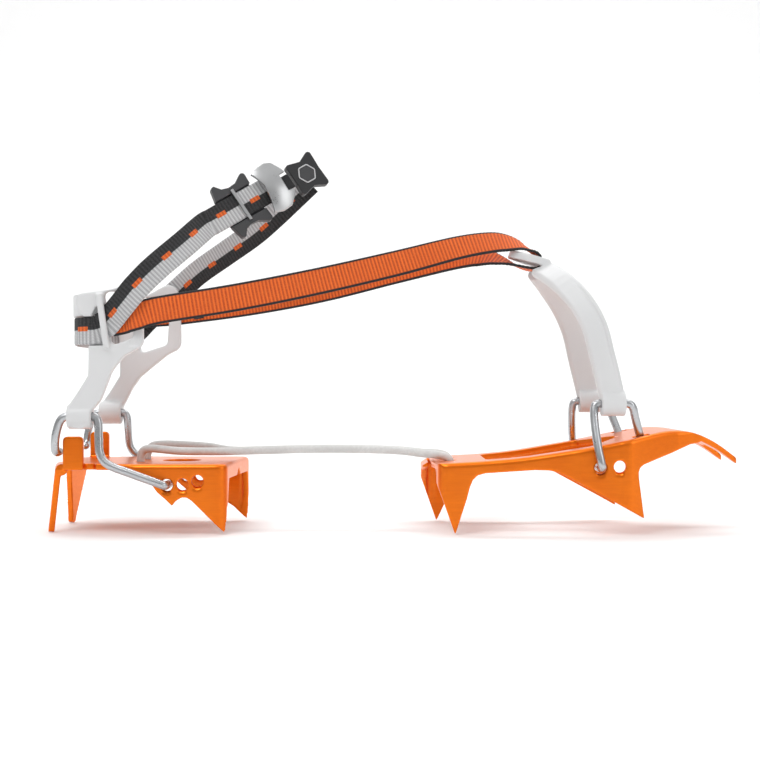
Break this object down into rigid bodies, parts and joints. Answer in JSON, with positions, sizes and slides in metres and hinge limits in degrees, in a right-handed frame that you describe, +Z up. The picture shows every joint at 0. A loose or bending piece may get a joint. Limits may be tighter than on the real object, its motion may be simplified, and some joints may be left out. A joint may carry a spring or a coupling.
{
  "type": "crampon",
  "caption": "Light two-section crampon: pressed orange aluminium heel and front frames joined by an adjustable cord, with plastic heel and toe bails, tether and ankle strap.",
  "frame": {"origin": "on the ground plane, under the middle of the bounding box", "axes": "+X towards the toe, +Y to the wearer's left, +Z up"},
  "size_m": [0.3182, 0.0867, 0.1782],
  "materials": {
    "anodised_aluminium": "bright orange anodised sheet, semi gloss",
    "steel_wire": "bent stainless wire, satin",
    "white_plastic": "flexible moulded plastic, translucent white",
    "ankle_webbing": "woven two-tone webbing, black and light grey with orange marks",
    "grey_plastic": "dark grey moulded plastic",
    "buckle_metal": "polished cast metal",
    "black_webbing": "narrow black webbing",
    "black_plastic": "black moulded plastic",
    "badge_plastic": "blank inset badge",
    "tether_webbing": "orange ribbed webbing with black edges",
    "black_thread": "bar-tack stitching",
    "white_cord": "braided high-strength cord"
  },
  "bodies": {
    "heel_section": {"heel_frame": "anodised_aluminium", "heel_knots": "white_cord", "link_cord_right": "white_cord", "link_cord_left": "white_cord", "tether_right": "tether_webbing", "tether_left": "tether_webbing", "tether_tack_right": "black_thread", "tether_tack_left": "black_thread"},
    "heel_wire_r": {"heel_wire_right": "steel_wire"},
    "heel_wire_l": {"heel_wire_left": "steel_wire"},
    "heel_cradle": {"heel_bail": "white_plastic", "heel_wrap_strap": "ankle_webbing"},
    "ankle_loop": {"ankle_strap_right": "ankle_webbing", "ankle_strap_left": "ankle_webbing", "buckle_plate": "buckle_metal", "buckle_bar": "buckle_metal", "tab_neck": "black_webbing"},
    "slider": {"ankle_slider": "grey_plastic", "slider_bar": "buckle_metal"},
    "tab": {"pull_tab": "black_plastic", "tab_badge": "badge_plastic"},
    "front_section": {"front_frame": "anodised_aluminium", "front_knots": "white_cord"},
    "toe_wire_r": {"toe_wire_right": "steel_wire"},
    "toe_wire_l": {"toe_wire_left": "steel_wire"},
    "toe_hoop": {"toe_bail": "white_plastic"}
  },
  "joints": [
    {"name": "link_length", "type": "slide", "parent": "heel_section", "child": "front_section", "axis": [1, 0, 0], "range_m": [-0.03, 0.03], "deforming": ["link_cord_right", "link_cord_left", "tether_right", "tether_left"]},
    {"name": "heel_sway", "type": "hinge", "parent": "heel_section", "child": "heel_wire_r", "pos_m": [-0.14, -0.034, 0.03], "axis": [1, 0, 0], "range_deg": [-1.2, 1.2], "deforming": ["tether_right", "tether_left"]},
    {"name": "heel_wire_left_sway", "type": "hinge", "parent": "heel_section", "child": "heel_wire_l", "pos_m": [-0.14, 0.034, 0.03], "axis": [1, 0, 0], "range_deg": [-1.2, 1.2]},
    {"name": "heel_bail_sway", "type": "hinge", "parent": "heel_wire_r", "child": "heel_cradle", "pos_m": [-0.1406, -0.034, 0.0536], "axis": [1, 0, 0], "range_deg": [-1.2, 1.2]},
    {"name": "toe_sway", "type": "hinge", "parent": "front_section", "child": "toe_wire_r", "pos_m": [0.099, -0.033, 0.036], "axis": [1, 0, 0], "range_deg": [-3, 3], "deforming": ["tether_right", "tether_left"]},
    {"name": "toe_wire_left_sway", "type": "hinge", "parent": "front_section", "child": "toe_wire_l", "pos_m": [0.099, 0.033, 0.036], "axis": [1, 0, 0], "range_deg": [-3, 3]},
    {"name": "toe_bail_sway", "type": "hinge", "parent": "toe_wire_r", "child": "toe_hoop", "pos_m": [0.0988, -0.033, 0.0594], "axis": [1, 0, 0], "range_deg": [-3, 3]},
    {"name": "ankle_strap_swing", "type": "hinge", "parent": "heel_cradle", "child": "ankle_loop", "pos_m": [-0.126, 0, 0.099], "axis": [0, 1, 0], "range_deg": [-40, 8], "deforming": ["ankle_strap_right", "ankle_strap_left", "tether_right", "tether_left"]},
    {"name": "slider_travel", "type": "slide", "parent": "ankle_loop", "child": "slider", "axis": [0.7682, 0.3841, 0.5121], "range_m": [-0.005, 0]},
    {"name": "pull_tab_flip", "type": "hinge", "parent": "ankle_loop", "child": "tab", "pos_m": [-0.04675, -0.0055, 0.1632], "axis": [-0.5554, 0.002, 0.8316], "range_deg": [-35, 20]}
  ],
  "couplings": [
    {"joint": "heel_wire_left_sway", "follows": "heel_sway", "ratio": 1},
    {"joint": "heel_bail_sway", "follows": "heel_sway", "ratio": -1},
    {"joint": "toe_wire_left_sway", "follows": "toe_sway", "ratio": 1},
    {"joint": "toe_bail_sway", "follows": "toe_sway", "ratio": -1}
  ]
}
